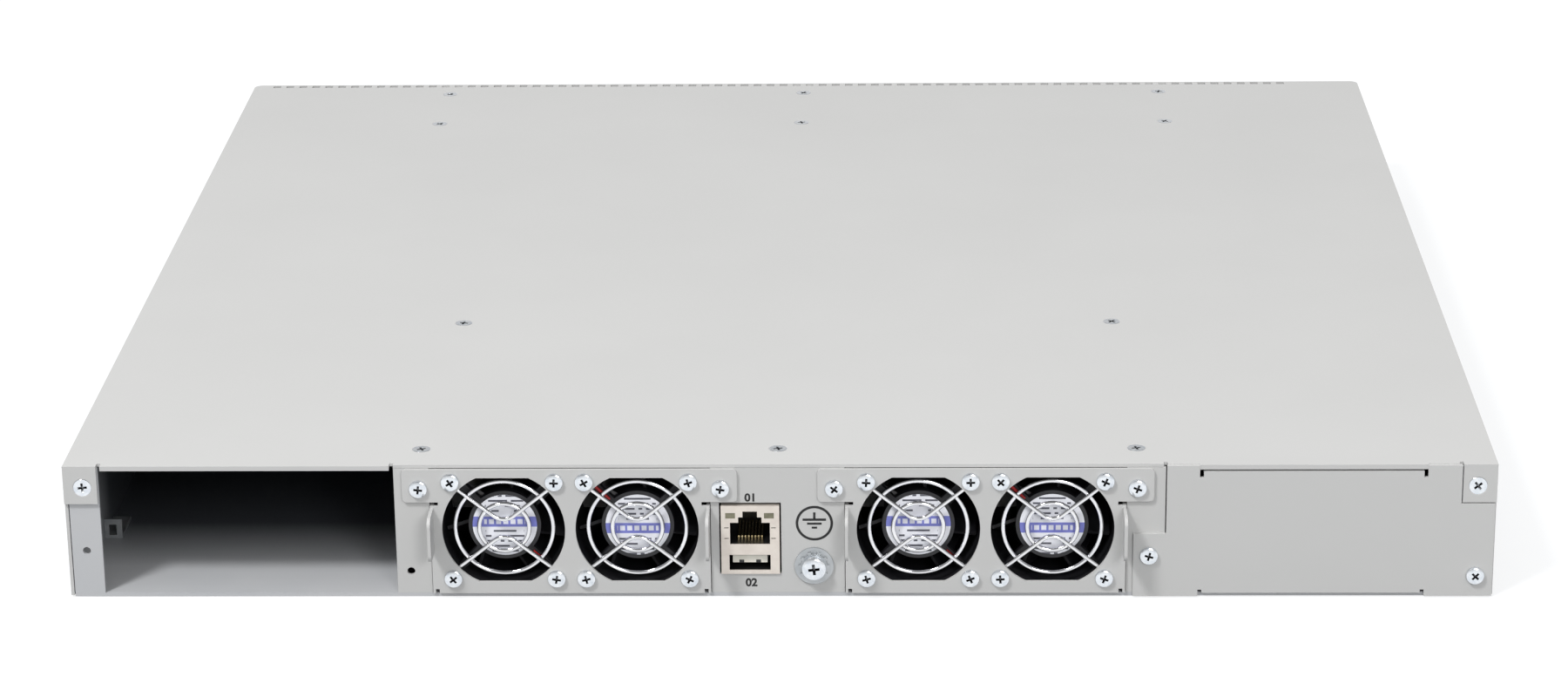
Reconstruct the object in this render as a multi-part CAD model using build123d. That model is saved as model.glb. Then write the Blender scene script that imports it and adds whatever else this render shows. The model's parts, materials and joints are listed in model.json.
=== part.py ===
from build123d import *
import os
from math import cos, radians, sin

# Rackmount network switch, one rack unit high, in millimetres.
# +Z is up, +X is to the right seen from the fan side, and the fan side faces -Y.
# The origin is on the underside, at the middle of the case.

# ---- overall sizes ----
width = 440.0                     # across the cover's two skins
depth = 420.0                     # rear sheet plane to the cover's front lip
height = 43.6                     # one rack unit, less the stacking gap

# ---- sheet metal ----
cover_t = 1.0
sheet_t = 1.2
skin_gap = 0.1                    # between the cover's underside and the sheets inside it
side_gap = 0.3                    # between the cover's skins and the tray's side walls
lip_h = 1.5                       # cover's short rear lips over the two bays
relief_w, relief_l = 1.2, 1.6     # notches beside the folds
front_lip_h = 4.6
tab_w, tab_h = 10.4, 12.4         # cover's folded corner tabs
corner_r = 3.0                    # cover's rounded front corners
flange_w = 9.4                    # tray's rear corner flanges, seen from behind

# ---- bays and rear panel ----
bay_in = 118.0                    # divider's bay face to the middle
divider_l = 238.0
seat_w = 13.0                     # divider's flanges
slot_pitch, slot_w, slot_l = 5.2, 3.0, 2.6
slot_x0, slot_count = -211.0, 78
supply_shift = 0.25               # supply connectors off the bay's middle
slot_inset = 0.9                  # slot's far end to the cover's front face
m3_tap_r = 1.25
m3_r = 1.5
hole_gap = 0.1                    # radial, round every screw
ear_hole_r = 2.0                  # rack ear threads, M4
ear_dy, ear_dz = 25.0, 20.0
ear_inset = 30.0                  # pattern's centre to the front lip

# ---- fan modules ----
module_x = 63.9                   # module centre to the middle
plate_t = 1.0
module_body_w = 86.2
wing_w, wing_z0 = 103.1, 31.6
wing_screw_x, wing_screw_z = 46.45, 36.2
plate_gap = 0.1                   # module plate over the tray's floor
plate_z1 = 42.4
slit_z0 = 30.4
ear_out, ear_z0, ear_z1 = 10.6, 15.5, 29.8
module_l = 34.0                   # module's side walls, back from the rear plane
fan_size, fan_l = 40.0, 28.0
fan_pitch = 41.2
fan_lift = 0.5                    # fans above the middle of the space between floor and cover
fan_bore_r = 19.2
grille_r, grille_flat = 19.0, 17.2
fan_screw_pitch = 32.0
guard_space = 1.5                 # plate to fan frame, filled by the guard's wires
wire_r = 0.7
ring_out_r, ring_in_r = 15.2, 7.75
hub_r = 11.2
hub_recess = 2.0
rotor_r, tip_r = 10.6, 18.6
shaft_r, shaft_gap = 1.0, 0.05
lead_r = 0.5
bearing_r, tube_r = 2.5, 3.4
fan_gap = 0.4                     # between the turning and the standing parts

# ---- board and what stands on it ----
board_t = 1.6
board_z = 6.0                     # board's underside
jack_x0, jack_x1 = -17.5, 0.55
jack_top = 30.2
jack_l = 22.0
jack_wall = 0.4
jack_out = 0.6                    # jack's face beyond the rear plane
cage_wall = 0.5
cage_l = 50.0
port_h = 9.0
port_mid = 5.0                    # between the upper and the lower row
small_port_w, large_port_w = 14.0, 18.8
small_block_x = (150.0, 92.0, 34.0, -24.0)
large_block_x = (-96.0,)
button_x, button_z, button_r = 205.0, 12.0, 2.0
button_travel = 0.8
earth_x, earth_z = 11.1, 10.3

# ---- worked out from the sizes above ----
rear_y, front_y = -depth / 2, depth / 2
cover_in = height - cover_t
skin_in = width / 2 - cover_t
tray_out = skin_in - side_gap
tray_in = tray_out - sheet_t
tray_top = cover_in - skin_gap
supply_x = (bay_in + tray_in) / 2 + supply_shift
seat_z = cover_in - sheet_t       # underside of every flange that the cover is screwed to
inner_rear = rear_y + sheet_t
panel_y1 = front_y - cover_t
panel_y0 = panel_y1 - sheet_t
board_top = board_z + board_t
plate_y = rear_y - plate_t
plate_z0 = sheet_t + plate_gap
fan_z = (sheet_t + cover_in) / 2 + fan_lift
fan_y0 = rear_y + guard_space
fan_y1 = fan_y0 + fan_l
opening_half = module_body_w / 2 + 0.2
tray_flange_x = tray_out - flange_w
screw_y_rear = rear_y + 13.8
screw_y_mid = rear_y + 131.8
screw_y_bar = front_y - 54.3
screw_y_front = front_y - 13.3
screw_x_wide = 140.5
screw_x_rear = 110.6
screw_x_mid = 108.7


def block(x0, x1, y0, y1, z0, z1):
    return Pos((x0 + x1) / 2, (y0 + y1) / 2, (z0 + z1) / 2) * Box(x1 - x0, y1 - y0, z1 - z0)


def rod_y(x, z, r, y0, y1):
    return Pos(x, (y0 + y1) / 2, z) * Rot(90, 0, 0) * Cylinder(r, y1 - y0)


def rod_z(x, y, r, z0, z1):
    return Pos(x, y, (z0 + z1) / 2) * Cylinder(r, z1 - z0)


def tube_y(x, z, r_in, r_out, y0, y1):
    return rod_y(x, z, r_out, y0, y1) - rod_y(x, z, r_in, y0 - 1, y1 + 1)


def cross(size, deep):
    # driver recess, open towards +Z from z = 0
    arm = Box(size, size * 0.24, deep * 2)
    return arm + Rot(0, 0, 90) * arm


def countersunk():
    # flat head flush with z = 0, shank along -Z
    head = Pos(0, 0, -cover_t / 2) * Cone(m3_r, m3_r + 1.35, cover_t)
    shank = Pos(0, 0, -3) * Cylinder(m3_r, 4)
    return head + shank - cross(3.4, 0.8)


def pan_screw(head_r, head_h, shank_r, shank_l):
    # domed head standing on z = 0, shank along -Z
    head = Pos(0, 0, head_h / 2) * Cylinder(head_r, head_h)
    head = fillet(head.edges().group_by(Axis.Z)[-1], head_h * 0.45)
    shank = Pos(0, 0, -shank_l / 2) * Cylinder(shank_r, shank_l)
    return head + shank - Pos(0, 0, head_h) * cross(head_r * 1.15, head_h * 0.6)


def facing_rear(shape, x, y, z):
    # turns a +Z shape to stand out of the rear face
    return Pos(x, y, z) * Rot(90, 0, 0) * shape


def cover_screw_places():
    places = [(x, screw_y_rear) for x in (-screw_x_rear, 0, screw_x_rear)]
    places += [(x, screw_y_mid) for x in (-screw_x_mid, screw_x_mid)]
    for y in (screw_y_bar, screw_y_front):
        places += [(x, y) for x in (-screw_x_wide, 0, screw_x_wide)]
    return places


def tab_screw_places():
    x = width / 2 - 5.9
    return [(-x, height - 7.0), (x, height - 7.0)]


def ear_holes(side):
    holes = []
    for dy in (-ear_dy / 2, ear_dy / 2):
        for dz in (-ear_dz / 2, ear_dz / 2):
            spot = Pos(side * width / 2, front_y - ear_inset + dy, height / 2 + dz)
            holes.append(spot * Rot(0, 90, 0) * Cylinder(ear_hole_r, 12))
    return Part() + holes


def top_cover():
    shell = block(-width / 2, width / 2, rear_y, front_y, 0.4, height)
    front_edges = shell.edges().filter_by(Axis.Z).group_by(Axis.Y)[-1]
    shell = fillet(front_edges, corner_r)
    shell -= block(-skin_in, skin_in, rear_y - 1, front_y - cover_t, -1, cover_in)
    shell -= block(-skin_in, skin_in, front_y - 5, front_y + 1, -1, height - front_lip_h)
    for side in (-1, 1):
        tab = block(width / 2 - tab_w, width / 2, rear_y - cover_t, rear_y, height - tab_h, height)
        if side < 0:
            tab = mirror(tab, Plane.YZ)
        shell += tab
        shell -= ear_holes(side)
    lip_x = width / 2 - tab_w
    for x0, x1 in ((-lip_x, -bay_in), (blank_notches[0], blank_notches[1] + relief_w)):
        shell += block(x0, x1, rear_y - cover_t, rear_y, height - lip_h, height)
    for x in (-lip_x + relief_w / 2, -bay_in - relief_w / 2, bay_in + 0.9, lip_x - relief_w / 2):
        shell -= block(x - relief_w / 2, x + relief_w / 2, rear_y - 2, rear_y + relief_l, cover_in - 2, height + 1)
    slots = []
    for i in range(slot_count):
        x = slot_x0 + i * slot_pitch
        slots.append(block(x - slot_w / 2, x + slot_w / 2, front_y - slot_inset - slot_l, front_y - slot_inset,
                           cover_in - 1, height + 1))
    shell -= slots
    hole = Pos(0, 0, -cover_t / 2) * Cone(m3_r + hole_gap, m3_r + 1.35 + hole_gap, cover_t)
    for x, y in cover_screw_places():
        shell -= Pos(x, y, height) * hole
    for x, z in tab_screw_places():
        shell -= facing_rear(hole, x, rear_y - cover_t, z)
    return shell


def chassis_tray():
    tray = block(-tray_out, tray_out, rear_y, panel_y1, 0, sheet_t)
    for side in (-1, 1):
        wall = block(tray_in, tray_out, rear_y, panel_y1, 0, tray_top)
        flange = block(tray_flange_x, tray_out, rear_y, inner_rear, 0, tray_top)
        if side < 0:
            wall, flange = mirror(wall, Plane.YZ), mirror(flange, Plane.YZ)
        tray += wall
        tray += flange
        tray -= ear_holes(side)
    for x, z in tab_screw_places():
        tray -= rod_y(x, z, m3_r + hole_gap, rear_y - 1, inner_rear + 1)
    x, z = supply_holes[0]
    tray -= rod_y(x, z, m3_tap_r, rear_y - 1, inner_rear + 1)
    x, z = blank_screw_places[1]
    return tray - rod_y(x, z, m3_r + hole_gap, rear_y - 1, inner_rear + 1)


blank_x0, blank_x1 = bay_in + 1.3, width / 2 - 0.4
blank_notches = (blank_x0 + 10.0, blank_x1 - 22.0)
supply_holes = [(-(tray_flange_x + flange_w / 2) - 0.2, 15.3), (-(bay_in - 4.3), 8.4)]
blank_screw_places = [(bay_in - 3.9, 14.0), (width / 2 - 5.7, 7.3)]


def rear_panel():
    # three uprights on one foot, with tabs on top for the cover's rear screws
    inner = module_x - opening_half
    outer = module_x + opening_half
    spans = [(-bay_in, -outer), (-inner, inner), (outer, blank_x0 - 0.3)]
    panel = block(-bay_in, bay_in, rear_y + 4.2, rear_y + 20, sheet_t, sheet_t + 1.0)
    for x0, x1 in spans:
        panel += block(x0, x1, rear_y, inner_rear, sheet_t + 0.1, tray_top)
        panel += block(x0, x1, rear_y, rear_y + 5, sheet_t, sheet_t + 1.0)
        middle = (x0 + x1) / 2
        half = min(12.0, (x1 - x0) / 2 - sheet_t - 1.0)
        panel += block(middle - half, middle + half, rear_y, rear_y + 22, seat_z, tray_top)
    for side in (-1, 1):
        for dx in (-wing_screw_x, wing_screw_x):
            x = side * module_x + dx
            panel -= rod_y(x, wing_screw_z, m3_r + hole_gap, rear_y - 1, inner_rear + 1)
    for x in (-screw_x_rear, 0, screw_x_rear):
        panel -= rod_z(x, screw_y_rear, m3_r + hole_gap, seat_z - 1, height)
    panel -= block(jack_x0 - 0.5, jack_x1 + 0.5, rear_y - 1, rear_y + 6, -1, jack_top + 0.8)
    panel += block(jack_x0 - 0.5, jack_x1 + 0.5, rear_y, inner_rear, sheet_t, board_top - 0.1)
    panel += block(jack_x0 - 0.5, jack_x1 + 0.5, rear_y, rear_y + 6, sheet_t, sheet_t + 1.0)
    panel -= rod_y(earth_x, earth_z, 2.0 + hole_gap, rear_y - 1, inner_rear + 1)
    x, z = supply_holes[1]
    panel -= rod_y(x, z, m3_tap_r, rear_y - 1, inner_rear + 1)
    x, z = blank_screw_places[0]
    return panel - rod_y(x, z, m3_r + hole_gap, rear_y - 1, inner_rear + 1)


def bay_divider(side):
    seat_y0 = fan_y1 + 18
    wall = block(bay_in - sheet_t, bay_in, inner_rear, inner_rear + divider_l, sheet_t + 1.0, tray_top)
    wall += block(bay_in - sheet_t, bay_in, rear_y + 20.2, inner_rear + divider_l, sheet_t, tray_top)
    for z0, z1 in ((sheet_t, 2 * sheet_t), (seat_z, tray_top)):
        wall += block(bay_in - seat_w, bay_in, seat_y0, inner_rear + divider_l, z0, z1)
    wall -= rod_z(screw_x_mid, screw_y_mid, m3_r + hole_gap, seat_z - 1, height)
    return mirror(wall, Plane.YZ) if side < 0 else wall


def front_panel():
    # its top edge stops under the cover's front lip, so that air reaches the cover's row of slots
    panel = block(-tray_in + 0.1, tray_in - 0.1, panel_y0, panel_y1, sheet_t, height - front_lip_h + 0.6)
    for x in (-screw_x_wide, 0, screw_x_wide):
        panel += block(x - 6, x + 6, panel_y0, panel_y1, sheet_t, tray_top)
        panel += block(x - 6, x + 6, panel_y1 - 22, panel_y1, seat_z, tray_top)
    for x in (-150.0, 181.0):
        panel += block(x - 20, x + 20, panel_y1 - 12, panel_y0, sheet_t, 2 * sheet_t)
    for x in (-screw_x_wide, 0, screw_x_wide):
        panel -= rod_z(x, screw_y_front, m3_r + hole_gap, seat_z - 1, height)
    for x, w, n in cage_blocks():
        half = block_half(w, n)
        panel -= block(x - half - 0.3, x + half + 0.3, panel_y0 - 1, panel_y1 + 1, board_z, cage_top() + 0.3)
    panel -= rod_y(button_x, button_z, button_r + 0.3, panel_y0 - 1, panel_y1 + 1)
    for x, z in light_places():
        panel -= block(x - 1.1, x + 1.1, panel_y0 - 1, panel_y1 + 1, z - 0.7, z + 0.7)
    return panel


def front_crossbar():
    y0, y1 = screw_y_bar - 9, screw_y_bar + 9
    bar = block(-tray_in, tray_in, y0, y1, seat_z, tray_top)
    bar += block(-tray_in, tray_in, y0, y0 + sheet_t, seat_z - 7, tray_top)
    for side in (-1, 1):
        end = block(tray_in - sheet_t, tray_in, y0, y1, seat_z - 12, tray_top)
        bar += mirror(end, Plane.YZ) if side < 0 else end
    for x in (-screw_x_wide, 0, screw_x_wide):
        bar -= rod_z(x, screw_y_bar, m3_r + hole_gap, seat_z - 1, height)
    return bar


def bay_blank():
    # plate over the unused right bay, with a wing at the lower left and turned-in edges
    top = height - 0.2
    turned = height - lip_h - 0.6                      # top of the plate between the notches
    y0 = rear_y - sheet_t
    n0, n1 = blank_notches
    plate = block(blank_x0, blank_x1, y0, rear_y, 0.3, top)
    plate += block(blank_x0 - 10, blank_x0, y0, rear_y, 0.3, 21.0)
    plate -= block(width / 2 - tab_w - 0.4, width / 2, y0 - 1, rear_y + 1, height - tab_h - 0.4, height)
    plate -= block(n0, n1 + relief_w, y0 - 1, rear_y + 1, turned, height)
    for x in blank_notches:
        plate -= block(x, x + relief_w, y0 - 1, rear_y + 1, turned - 2.0, turned + 1)
        plate -= block(x, x + relief_w, y0 - 1, rear_y + 1, -1, 2.4)
    for z in (turned - sheet_t, sheet_t + 0.1):
        plate += block(n0 + relief_w, n1, rear_y, rear_y + 18, z, z + sheet_t)
    plate -= block(n0 + relief_w, n1, y0 - 1, rear_y, -1, sheet_t + 0.1)
    for x, z in blank_screw_places:
        plate -= rod_y(x, z, m3_r + hole_gap, y0 - 1, rear_y + 1)
    return plate


def bay_lugs():
    # a small bent lug on the floor of each bay, against the side wall, that guides a supply in
    lugs = []
    for side in (-1, 1):
        wall = tray_in - 0.1
        y = rear_y + 45
        lug = block(wall - 5.7, wall, y, y + 1.0, sheet_t, sheet_t + 6.4)
        lug += block(wall - 5.7, wall, y, y + 16, sheet_t, sheet_t + 1.0)
        lug -= block(wall - 3.9, wall - 1.5, y - 1, y + 2, sheet_t + 1.0, sheet_t + 4.6)
        lugs.append(mirror(lug, Plane.YZ) if side < 0 else lug)
    return lugs


def module_ear():
    ear = block(-plate_t / 2, plate_t / 2, plate_y - ear_out, rear_y, ear_z0, ear_z1)
    return fillet(ear.edges().filter_by(Axis.X).group_by(Axis.Y)[0], 2.5)


def module_plate(side):
    cx = side * module_x
    half = module_body_w / 2
    plate = block(cx - wing_w / 2, cx + wing_w / 2, plate_y, rear_y, wing_z0, plate_z1)
    plate = fillet(plate.edges().filter_by(Axis.Y), 1.5)
    plate += block(cx - half, cx + half, plate_y, rear_y, plate_z0, slit_z0)
    neck = half - 2.5
    plate += block(cx - neck, cx + neck, plate_y, rear_y, slit_z0 - 1, wing_z0 + 2)
    plate += block(cx - half + 2, cx + half - 2, rear_y, rear_y + 3.8, plate_z0, plate_z0 + 0.8)
    for x in (cx - half + 1.4, cx + half - 1.4):
        plate -= block(x - relief_w / 2, x + relief_w / 2, plate_y - 1, rear_y + 1, 0, plate_z0 + 1.4)
    for x in (cx - half + plate_t / 2, cx + half - plate_t / 2):
        plate += Pos(x, 0, 0) * module_ear()
        plate += block(x - plate_t / 2, x + plate_t / 2, rear_y, rear_y + module_l, 3.0, slit_z0)
    for x in fan_centres(side):
        hole = rod_y(x, fan_z, grille_r, plate_y - 1, rear_y + 0.5)
        flats = block(x - 30, x + 30, plate_y - 2, rear_y + 2, fan_z - grille_flat, fan_z + grille_flat)
        plate -= hole & flats
        for dx, dz in corners(fan_screw_pitch / 2):
            plate -= rod_y(x + dx, fan_z + dz, m3_r + 0.2 + hole_gap, plate_y - 1, rear_y + 1)
    for dx in (-wing_screw_x, wing_screw_x):
        plate -= rod_y(cx + dx, wing_screw_z, m3_r + hole_gap, plate_y - 1, rear_y + 1)
    bracket = block(cx - half, cx + half, rear_y + module_l, rear_y + module_l + plate_t, 16.0, 29.0)
    return plate + bracket


def corners(half):
    return [(sx * half, sz * half) for sx in (-1, 1) for sz in (-1, 1)]


def fan_centres(side):
    return [side * module_x - fan_pitch / 2, side * module_x + fan_pitch / 2]


def module_plug(side):
    cx = side * module_x
    y0 = rear_y + module_l + plate_t
    return block(cx - 8, cx + 8, y0, y0 + 6, 17.0, 28.0) + block(cx - 6, cx + 6, y0 + 6, y0 + 11, 20.5, 24.5)


def fan_sockets():
    sockets = []
    for side in (-1, 1):
        cx = side * module_x
        y0 = rear_y + module_l + plate_t + 6.3
        body = block(cx - 9, cx + 9, y0, y0 + 10, board_top, 28.5)
        sockets.append(body - block(cx - 6.4, cx + 6.4, y0 - 1, y0 + 5.1, 20.1, 24.9))
    return sockets


def fan_frame(x, turned):
    half = fan_size / 2
    frame = block(x - half, x + half, fan_y0, fan_y1, fan_z - half, fan_z + half)
    frame = fillet(frame.edges().filter_by(Axis.Y), 3.0)
    frame -= rod_y(x, fan_z, fan_bore_r, fan_y0 - 1, fan_y1 + 1)
    for dx, dz in corners(fan_screw_pitch / 2):
        frame -= rod_y(x + dx, fan_z + dz, 1.7 + hole_gap, fan_y0 - 1, fan_y1 + 1)
    hub_y = fan_y0 + hub_recess
    frame += rod_y(x, fan_z, hub_r, hub_y, hub_y + 2.4)
    for i in range(4):
        strut = Pos((hub_r + fan_bore_r) / 2, 0, 0) * Box(fan_bore_r - hub_r + 1.6, 2.4, 2.2)
        angle = 45 + 90 * i + (180 if turned else 0)
        frame += Pos(x, hub_y + 1.2, fan_z) * Rot(0, angle, 0) * strut
    frame += rod_y(x, fan_z, tube_r, hub_y, fan_y1 - 9)
    return frame - rod_y(x, fan_z, bearing_r, hub_y + 1.4, fan_y1)


def fan_bearing(x):
    y0 = fan_y0 + hub_recess + 1.6
    return tube_y(x, fan_z, shaft_r + shaft_gap, bearing_r - 0.02, y0, fan_y1 - 9.2)


def fan_stator(x):
    # four wound poles on a laminated core round the bearing tube
    y0, y1 = fan_y0 + hub_recess + 2.8, fan_y1 - 9.5
    core = rod_y(x, fan_z, 5.2, y0, y1)
    for i in range(4):
        pole = Pos(6.4, 0, 0) * Box(3.4, y1 - y0, 5.0)
        core += Pos(x, (y0 + y1) / 2, fan_z) * Rot(0, 90 * i, 0) * pole
    return core - rod_y(x, fan_z, tube_r + 0.05, y0 - 1, y1 + 1)


def blade(turn):
    # a twisted sheet from hub to tip, ruled between two slanted lines
    y0, y1 = fan_y0 + hub_recess + 4.6, fan_y1 - 1.6
    sections = []
    for r, sweep in ((rotor_r - 0.6, 46.0), (tip_r, 30.0)):
        points = []
        for y, a in ((y0, turn - sweep / 2), (y1, turn + sweep / 2)):
            points.append((r * cos(radians(a)), y, r * sin(radians(a))))
        sections.append(points)
    (a, b), (c, d) = sections
    thick = 1.0
    lift = Vector(*b).sub(Vector(*a)).cross(Vector(*c).sub(Vector(*a))).normalized() * thick
    lower = Polyline(a, b, d, c, close=True)
    base = Face.make_surface(lower)
    return Solid.extrude(base, lift)


def impeller(x):
    y0, y1 = fan_y0 + hub_recess + 2.4 + fan_gap, fan_y1 - 1.0
    hub = rod_y(0, 0, rotor_r, y0, y1)
    hub -= rod_y(0, 0, rotor_r - 1.0, y0 - 1, y1 - 3.0)
    for i in range(7):
        hub += blade(i * 360 / 7)
    hub &= rod_y(0, 0, tip_r, y0, fan_y1)
    hub -= rod_y(0, 0, rotor_r - 1.0, y0 - 1, y1 - 3.0)
    hub -= rod_y(0, 0, shaft_r, y0 - 1, y1 + 1)
    magnet = tube_y(0, 0, 8.6, rotor_r - 1.0, y0 + 1.0, y1 - 4.0)
    return [Pos(x, 0, fan_z) * hub, Pos(x, 0, fan_z) * magnet]


def fan_shaft(x):
    return rod_y(x, fan_z, shaft_r, fan_y0 + hub_recess + 1.8, fan_y1 - 1.0)


def wire(points, radius, r):
    path = FilletPolyline(*points, radius=radius)
    start = Plane(origin=path @ 0, z_dir=path % 0)
    return sweep(start * Circle(r), path=path)


def fan_guard(x):
    # two rings carried by two bent wires that run behind the plate at their ends
    front = rear_y + wire_r + 0.05
    back = front + 0.9
    guard = Pos(x, back, fan_z) * Rot(90, 0, 0) * Torus(ring_out_r, wire_r)
    guard += Pos(x, back, fan_z) * Rot(90, 0, 0) * Torus(ring_in_r, wire_r)
    for side in (-1, 1):
        points = [(x - 14.9, front, fan_z + side * 13.4), (x, front, fan_z + side * 2.0),
                  (x + 14.9, front, fan_z + side * 13.4)]
        guard += wire(points, 2.4, wire_r)
    return guard


def fan_label(x):
    y = fan_y0 + hub_recess
    return rod_y(x, fan_z, 10.0, y - 0.15, y)


def fan_lead(x, turned):
    # the stretch of lead that shows along one strut, from the hub to the frame
    s = -1 if turned else 1
    y = fan_y0 + hub_recess - lead_r - 0.02
    start = Vector(x + s * 8.6, y, fan_z - s * 8.6)
    end = Vector(x + s * 13.0, y, fan_z - s * 13.0)
    along = end - start
    spot = Plane(origin=start, z_dir=along)
    return spot * Pos(0, 0, along.length / 2) * Cylinder(lead_r, along.length)


def fan_screws(side):
    screw = pan_screw(2.75, 1.5, m3_r + 0.2, 7.0)
    out = []
    for x in fan_centres(side):
        for dx, dz in corners(fan_screw_pitch / 2):
            out.append(facing_rear(screw, x + dx, plate_y, fan_z + dz))
    return out


def module_screws(side):
    screw = pan_screw(2.8, 1.7, m3_r, 6.0)
    return [facing_rear(screw, side * module_x + dx, plate_y, wing_screw_z)
            for dx in (-wing_screw_x, wing_screw_x)]


def blank_screws():
    screw = pan_screw(2.75, 1.6, m3_r, 5.0)
    return [facing_rear(screw, x, rear_y - sheet_t, z) for x, z in blank_screw_places]


def cover_screws():
    out = [Pos(x, y, height) * countersunk() for x, y in cover_screw_places()]
    return out + [facing_rear(countersunk(), x, rear_y - cover_t, z) for x, z in tab_screw_places()]


def earth_washers():
    plain = tube_y(earth_x, earth_z, 2.0 + hole_gap, 6.0, rear_y - 0.8, rear_y)
    lock = tube_y(earth_x, earth_z, 2.0 + hole_gap, 4.1, rear_y - 1.5, rear_y - 0.8)
    teeth = []
    for i in range(10):
        turn = Pos(earth_x, rear_y - 1.15, earth_z) * Rot(0, 36 * i, 0)
        teeth.append(turn * Pos(4.2, 0, 0) * Box(1.2, 0.7, 1.0))
    return [plain, lock + teeth]


def earth_screw():
    return facing_rear(pan_screw(3.75, 2.6, 2.0, 8.0), earth_x, rear_y - 1.5, earth_z)


def board_outline():
    tongue = jack_x1 + 18
    y_bay = inner_rear + divider_l + 0.4
    rear = rear_y + module_l + plate_t + 6.3
    half = bay_in - seat_w - 0.5
    wide = tray_in - 3
    points = [(-wide, y_bay), (-half, y_bay), (-half, rear), (-tongue, rear), (-tongue, inner_rear + 0.3),
              (tongue, inner_rear + 0.3), (tongue, rear), (half, rear), (half, y_bay), (wide, y_bay),
              (wide, panel_y0 - 2), (-wide, panel_y0 - 2)]
    return make_face(Polyline(*points, close=True))


def standoff_places():
    places = [(x, y) for x in (-205, -60, 60, 205) for y in (rear_y + 258, panel_y0 - 68)]
    places += [(x, y) for x in (-92, 92) for y in (rear_y + 56, rear_y + 150)]
    return places + [(12.0, rear_y + 30.0)]


def main_board():
    board = Pos(0, 0, board_z) * extrude(board_outline(), board_t)
    for x, y in standoff_places():
        board -= rod_z(x, y, m3_r + hole_gap, board_z - 1, board_top + 1)
    return board


def standoffs():
    out = []
    for x, y in standoff_places():
        post = Pos(x, y, sheet_t) * extrude(RegularPolygon(3.0, 6), board_z - sheet_t)
        out.append(post - rod_z(x, y, m3_r + hole_gap, sheet_t + 1, board_z + 1))
    return out


def board_screws():
    return [Pos(x, y, board_top) * pan_screw(2.8, 1.6, m3_r, 4.5) for x, y in standoff_places()]


def jack_y():
    return rear_y - jack_out


rj_x0, rj_x1, rj_z0, rj_z1 = jack_x0 + 2.8, jack_x1 - 2.95, 17.5, 24.6
usb_x0, usb_x1, usb_z0, usb_z1 = jack_x0 + 2.5, jack_x1 - 2.85, 8.9, 13.95
rj_mid = (rj_x0 + rj_x1) / 2


def jack_mouths(y0, rj_end, usb_end):
    # socket mouth with its two steps for the latch, and the flat socket below it
    mouth = block(rj_x0, rj_x1, y0, rj_end, rj_z0, rj_z1)
    mouth += block(rj_mid - 3.6, rj_mid + 3.6, y0, rj_end, rj_z1 - 1, rj_z1 + 1.8)
    mouth += block(rj_mid - 2.25, rj_mid + 2.25, y0, rj_end, rj_z1 - 1, rj_z1 + 3.7)
    return mouth + block(usb_x0, usb_x1, y0, usb_end, usb_z0, usb_z1)


def light_windows(y0, y1, grow):
    out = Part()
    for x in (jack_x0 + 2.9, jack_x1 - 3.2):
        out += block(x - 1.5 - grow, x + 1.5 + grow, y0, y1, 26.0 - grow, 27.8 + grow)
    return out


def jack_shield():
    y0, y1 = jack_y(), jack_y() + jack_l
    shield = block(jack_x0, jack_x1, y0, y1, board_top, jack_top)
    w = jack_wall
    shield -= block(jack_x0 + w, jack_x1 - w, y0 + w, y1 - w, board_top + w, jack_top - w)
    shield -= jack_mouths(y0 - 1, y0 + w + 1, y0 + w + 1)
    for z in (19.4, 22.9):
        for x in (rj_x0 - 1.1, rj_x1 + 1.1):
            shield -= block(x - 0.7, x + 0.7, y0 - 1, y0 + w + 0.1, z - 0.15, z + 0.15)
    return shield - light_windows(y0 - 1, y0 + w + 1, 0.02)


def jack_housing():
    w = jack_wall
    y0, y1 = jack_y() + w, jack_y() + jack_l - w
    body = block(jack_x0 + w, jack_x1 - w, y0, y1, board_top + w, jack_top - w)
    body -= jack_mouths(y0 - 1, y1 - 4, y0 + 12)
    body -= light_windows(y0 - 1, y1 - 4, 0.02)
    return body + block(usb_x0 + 0.9, usb_x1 - 0.6, y0 + 3.2, y0 + 13, usb_z1 - 2.2, usb_z1 - 0.3)


def jack_contacts():
    out = []
    y0 = jack_y() + jack_wall
    for i in range(8):
        x = rj_mid + (i - 3.5) * 1.02
        out.append(block(x - 0.25, x + 0.25, y0 + 3.0, y0 + 16.0, rj_z0, rj_z0 + 1.5))
    for i in range(4):
        x = (usb_x0 + usb_x1) / 2 + (i - 1.5) * 2.3
        out.append(block(x - 0.5, x + 0.5, y0 + 4.0, y0 + 11.5, usb_z1 - 2.4, usb_z1 - 2.2))
    return out


def light_places():
    return [(button_x + dx, z) for dx in (-4.5, 4.5) for z in (22.0, 26.5, 31.0)]


def light_pipes():
    y0 = jack_y()
    out = [pipe for pipe in light_windows(y0 + 0.1, y0 + jack_l - 5, 0).solids()]
    for x, z in light_places():
        out.append(block(x - 0.9, x + 0.9, panel_y0 - 10, panel_y1 + 0.2, z - 0.5, z + 0.5))
    return out


def light_carrier():
    # block on the board that holds the front light pipes
    body = block(button_x - 7, button_x + 7, panel_y0 - 14, panel_y0 - 6, 18.0, 34.0)
    body += block(button_x - 7, button_x - 4, panel_y0 - 14, panel_y0 - 6, board_top, 18.0)
    for x, z in light_places():
        body -= block(x - 0.9, x + 0.9, panel_y0 - 10, panel_y0 - 5, z - 0.5, z + 0.5)
    return body


def button_switch():
    return block(button_x - 3, button_x + 3, panel_y0 - 12.5, panel_y0 - 6, board_top, 15.5)


def mode_button():
    stem = rod_y(button_x, button_z, 1.4, panel_y0 - 6 + button_travel + 0.1, panel_y0)
    cap = rod_y(button_x, button_z, button_r, panel_y0 - 2.0, panel_y1 + 1.0)
    return stem + fillet(cap.edges().group_by(Axis.Y)[-1], 0.4)


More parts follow.
